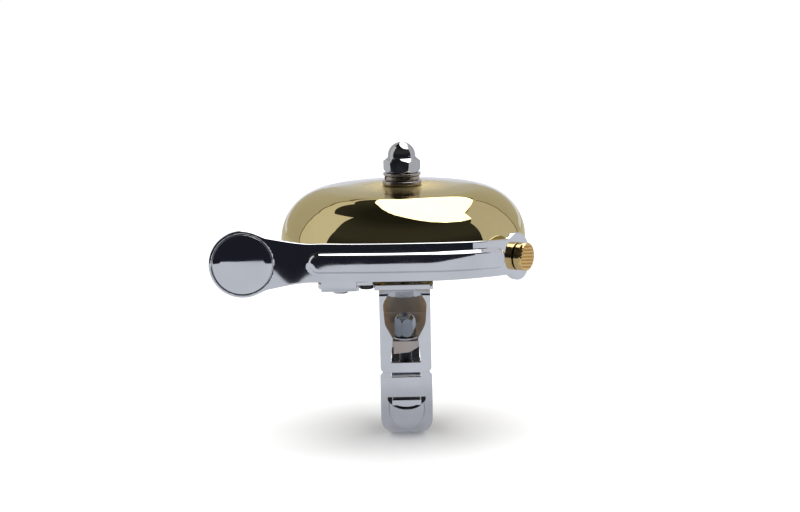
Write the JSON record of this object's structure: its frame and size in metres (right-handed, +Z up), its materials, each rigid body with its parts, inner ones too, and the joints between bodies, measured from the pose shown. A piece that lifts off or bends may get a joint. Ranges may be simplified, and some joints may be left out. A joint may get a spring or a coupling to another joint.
{
  "type": "bicycle bell",
  "caption": "Handlebar bell: a low domed gong on a hinged steel band clamp, rung by a sprung thumb lever that wraps round its rim to a striker.",
  "frame": {"origin": "middle of the handlebar that the clamp closes round, half way along the clamp's width", "axes": "+X along the handlebar towards the striker, -Y towards the lever, +Z up through the bell's bolt"},
  "size_m": [0.0766, 0.0649, 0.071],
  "materials": {
    "brass": "polished",
    "chrome": "polished",
    "steel": "plated",
    "rubber": "matte",
    "nylon": "matte"
  },
  "bodies": {
    "base": {"bell_dome": "brass", "acorn_nut": "chrome", "nut_washer": "chrome", "spring_washer": "steel", "crown_washer": "chrome", "crown_cushion": "nylon", "post_sleeve": "steel", "center_bolt": "steel", "base_plate": "chrome", "clamp_bracket": "chrome", "bar_saddle": "steel", "saddle_liner": "rubber", "clamp_washer": "steel", "hinge_pin": "steel", "pivot_rivet": "steel", "pivot_bush": "brass", "spring_cap": "steel", "rest_bumper": "rubber", "return_spring": "steel"},
    "lever": {"lever_arm": "chrome", "thumb_medallion": "chrome", "striker_head": "brass", "striker_button": "brass"},
    "screw": {"clamp_screw": "steel"},
    "jaw": {"clamp_link": "chrome", "clamp_strap": "chrome", "strap_liner": "rubber"}
  },
  "joints": [
    {"name": "lever_swing", "type": "hinge", "parent": "base", "child": "lever", "pos_m": [-0.0153, -0.017, 0.026], "axis": [0, 0, -1], "range_deg": [-2, 22], "stiffness_Nm_per_rad": 0.1, "deforming": ["return_spring"]},
    {"name": "screw_turn", "type": "hinge", "parent": "base", "child": "screw", "pos_m": [0, -0.01295, 0.01], "axis": [0, 0, 1], "range_deg": [0, 2160]},
    {"name": "jaw_drop", "type": "hinge", "parent": "base", "child": "jaw", "pos_m": [0, 0.0166, 0.0043], "axis": [1, 0, 0], "range_deg": [0, 5.8]}
  ],
  "couplings": [
    {"joint": "screw_turn", "follows": "jaw_drop", "ratio": 371.34}
  ]
}
